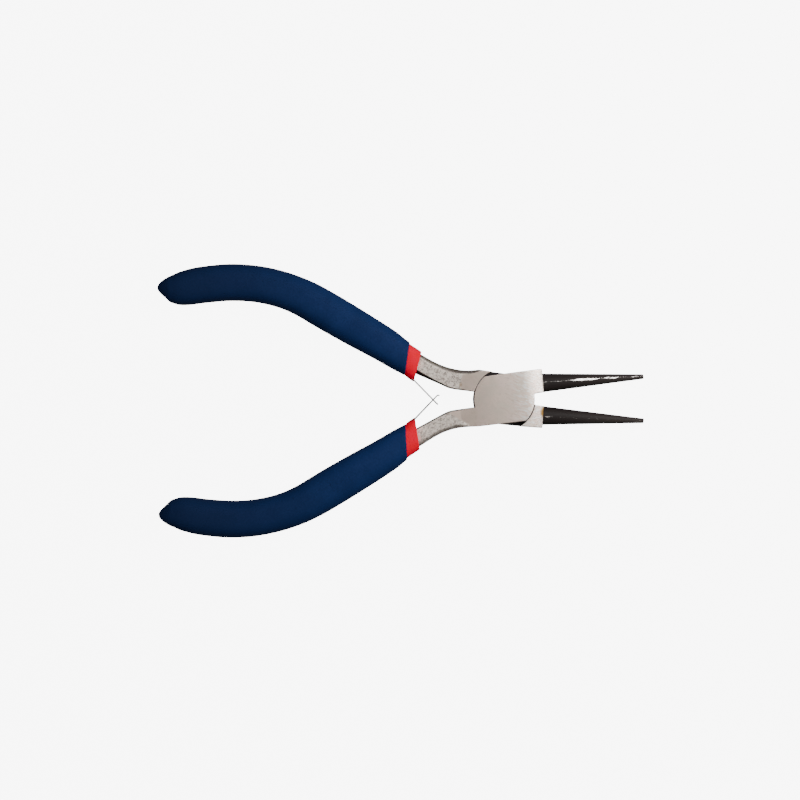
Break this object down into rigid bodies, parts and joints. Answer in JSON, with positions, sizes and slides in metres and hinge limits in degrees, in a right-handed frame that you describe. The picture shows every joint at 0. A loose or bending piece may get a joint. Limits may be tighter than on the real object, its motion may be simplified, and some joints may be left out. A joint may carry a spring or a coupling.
{
  "type": "round nose pliers",
  "caption": "Small lap-joint pliers with slim round tapered jaws, crossed leaf springs and two-colour dipped bow grips, for bending wire loops.",
  "frame": {"origin": "on the pivot axis, at the joint's ground back face", "axes": "+X towards the jaws along the tool's centre line, +Z along the pivot axis from the back face to the front face, +Y towards the handle of the rear half"},
  "size_m": [0.1246, 0.0704, 0.0088],
  "materials": {
    "forged_steel": "ground on the joint faces, tumbled on the necks, black oxide on the jaws and in the recess",
    "rivet_steel": "peened and ground flush with the joint faces",
    "spring_steel": "bright hardened strip",
    "red_dip": "satin plastisol under-dip",
    "blue_dip": "matte foamed plastisol over-dip"
  },
  "bodies": {
    "front": {"front_half": "forged_steel", "front_grip_inner": "red_dip", "front_grip_outer": "blue_dip", "front_spring_root": "spring_steel", "front_spring_rivet": "rivet_steel", "pivot_rivet": "rivet_steel"},
    "rear": {"rear_half": "forged_steel", "rear_grip_inner": "red_dip", "rear_grip_outer": "blue_dip", "rear_spring_root": "spring_steel", "rear_spring_rivet": "rivet_steel"},
    "front_spring": {"front_spring_blade": "spring_steel"},
    "rear_spring": {"rear_spring_blade": "spring_steel"}
  },
  "joints": [
    {"name": "pivot", "type": "hinge", "parent": "front", "child": "rear", "pos_m": [0, 0, 0.0038], "axis": [0, 0, 1], "range_deg": [-5, 16], "stiffness_Nm_per_rad": 1.2},
    {"name": "front_spring_flex", "type": "hinge", "parent": "front", "child": "front_spring", "pos_m": [-0.02259, -0.00464, 0.0038], "axis": [0, 0, 1], "range_deg": [-26, 8.5]},
    {"name": "rear_spring_flex", "type": "hinge", "parent": "rear", "child": "rear_spring", "pos_m": [-0.02259, 0.00464, 0.0038], "axis": [0, 0, 1], "range_deg": [-8.5, 26]}
  ],
  "couplings": [
    {"joint": "front_spring_flex", "follows": "pivot", "ratio": -1.58},
    {"joint": "rear_spring_flex", "follows": "pivot", "ratio": 1.58}
  ]
}
